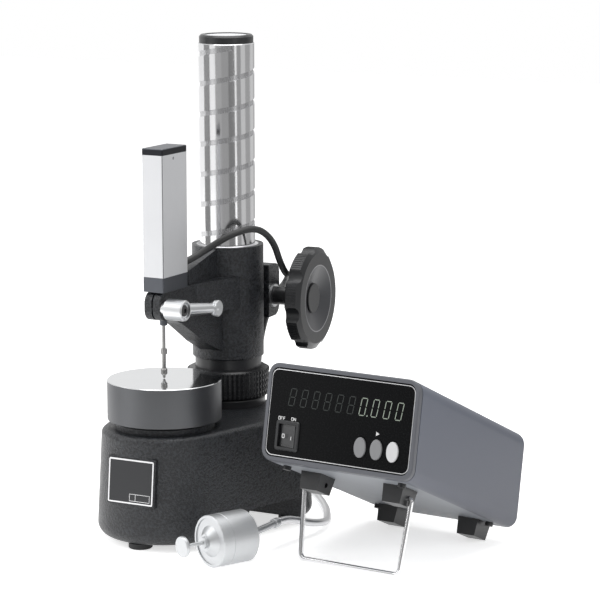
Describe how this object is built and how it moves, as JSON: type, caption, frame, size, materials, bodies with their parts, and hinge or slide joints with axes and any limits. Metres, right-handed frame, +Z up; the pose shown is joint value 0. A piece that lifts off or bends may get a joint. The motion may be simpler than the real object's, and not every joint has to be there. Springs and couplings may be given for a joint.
{
  "type": "digital length gauge",
  "caption": "Length gauge head on a grooved-column comparator stand with round anvil, joined by cable to a raked digital counter, and a plunger release with hose.",
  "frame": {"origin": "centre of the platen's top face, below the gauge's contact tip", "axes": "+Z up, along the spindle; +Y from the spindle to the column; +X to the right, towards the counter"},
  "size_m": [0.3698, 0.3906, 0.4343],
  "materials": {
    "black_wrinkle": "black wrinkle paint",
    "chrome_steel": "ground and chromed",
    "platen_steel": "lapped, near mirror",
    "satin_steel": "satin",
    "silver_aluminium": "fine satin anodised",
    "dark_anodised": "dark grey anodised",
    "black_anodised": "satin black",
    "black_rubber": "matt",
    "black_plastic": "fine matt",
    "case_paint": "grey-blue, fine texture",
    "bottom_grey": "light grey",
    "bezel_plastic": "grey-blue",
    "window_black": "smoked filter window",
    "button_grey": "dark grey",
    "button_light": "light grey",
    "plate_silver": "printed",
    "bronze": "turned",
    "glass": "graduated",
    "board_green": "circuit board",
    "hose_clear": "translucent silver-grey",
    "cable_grey": "matt jacket"
  },
  "bodies": {
    "stand": {"base_casting": "black_wrinkle", "base_feet": "black_rubber", "platen": "platen_steel", "platen_pad": "black_rubber", "nameplate": "plate_silver", "column": "chrome_steel", "base_collar": "black_plastic", "column_cap": "black_plastic", "cap_disc": "silver_aluminium", "counter_case": "case_paint", "counter_bottom_plate": "bottom_grey", "counter_bezel": "bezel_plastic", "counter_window": "window_black", "counter_rear_panel": "bottom_grey", "power_inlet": "black_plastic", "display_module": "board_green", "switch_body": "black_plastic", "counter_feet": "black_plastic", "case_screws": "black_anodised", "signal_socket": "satin_steel", "signal_plug": "black_plastic", "release_barrel": "satin_steel", "release_nose": "satin_steel", "release_spring": "satin_steel", "release_fitting": "satin_steel", "release_hose": "hose_clear", "hose_coil": "hose_clear", "hose_end_fitting": "bronze", "signal_cable_run": "cable_grey", "signal_cable_coil": "cable_grey", "signal_cable_tail": "cable_grey"},
    "carriage": {"bracket_casting": "black_wrinkle", "clamp_bush": "satin_steel", "gauge_housing": "silver_aluminium", "gauge_base_block": "dark_anodised", "gauge_top_cap": "dark_anodised", "gauge_stem": "satin_steel", "stem_wiper": "dark_anodised", "reader_head": "board_green", "gauge_cable_gland": "black_rubber", "return_spring": "satin_steel"},
    "ring": {"elevating_ring": "black_anodised", "groove_key": "satin_steel"},
    "clamp_knob": {"clamp_wheel": "black_plastic", "wheel_cap": "black_plastic", "clamp_screw": "satin_steel"},
    "lever": {"clamp_lever": "satin_steel", "lever_screw": "black_anodised", "clamp_stud": "satin_steel"},
    "spindle": {"spindle_rod": "satin_steel", "contact_tip": "satin_steel", "scale_carrier": "silver_aluminium", "glass_scale": "glass"},
    "plunger_set": {"plunger": "satin_steel", "plunger_knob": "satin_steel"},
    "rocker": {"power_rocker": "black_plastic"},
    "button_left": {"button_function": "button_grey"},
    "button_middle": {"button_shift": "button_grey"},
    "button_right": {"button_reset": "button_light"},
    "bail": {"counter_bail": "chrome_steel"}
  },
  "joints": [
    {"name": "column_slide", "type": "slide", "parent": "stand", "child": "carriage", "axis": [0, 0, 1], "range_m": [0, 0.16], "deforming": ["signal_cable_run"]},
    {"name": "ring_turn", "type": "hinge", "parent": "carriage", "child": "ring", "pos_m": [0, 0.1113, -0.02], "axis": [0, 0, 1], "range_deg": [-10, 2200]},
    {"name": "clamp_turn", "type": "hinge", "parent": "carriage", "child": "clamp_knob", "pos_m": [-0.00335, 0.14614, 0.053], "axis": [0.9954, 0.0958, 0], "range_deg": [-20, 340]},
    {"name": "lever_turn", "type": "hinge", "parent": "carriage", "child": "lever", "pos_m": [0, -0.0133, 0.0645], "axis": [1, 0, 0], "range_deg": [-60, 90]},
    {"name": "spindle_slide", "type": "slide", "parent": "carriage", "child": "spindle", "axis": [0, 0, 1], "range_m": [0, 0.015], "stiffness_N_per_m": 20, "springref_m": -0.04, "deforming": ["return_spring"]},
    {"name": "plunger_slide", "type": "slide", "parent": "stand", "child": "plunger_set", "axis": [0.4067, 0.9135, 0], "range_m": [0, 0.015], "stiffness_N_per_m": 150, "springref_m": -0.02},
    {"name": "rocker_turn", "type": "hinge", "parent": "stand", "child": "rocker", "pos_m": [0.14056, -0.03223, -0.02986], "axis": [0.0159, 0.1815, 0.9833], "range_deg": [-16, 0]},
    {"name": "bail_fold", "type": "hinge", "parent": "stand", "child": "bail", "pos_m": [0.19311, -0.0052, -0.07686], "axis": [0.9962, -0.0872, 0], "range_deg": [0, 78]},
    {"name": "button_left_press", "type": "slide", "parent": "stand", "child": "button_left", "axis": [0.0857, 0.9795, -0.1822], "range_m": [0, 0.0012], "stiffness_N_per_m": 300, "springref_m": -0.001},
    {"name": "button_middle_press", "type": "slide", "parent": "stand", "child": "button_middle", "axis": [0.0857, 0.9795, -0.1822], "range_m": [0, 0.0012], "stiffness_N_per_m": 300, "springref_m": -0.001},
    {"name": "button_right_press", "type": "slide", "parent": "stand", "child": "button_right", "axis": [0.0857, 0.9795, -0.1822], "range_m": [0, 0.0012], "stiffness_N_per_m": 300, "springref_m": -0.001}
  ],
  "couplings": [
    {"joint": "ring_turn", "follows": "column_slide", "rad_per_m": 232.71}
  ]
}
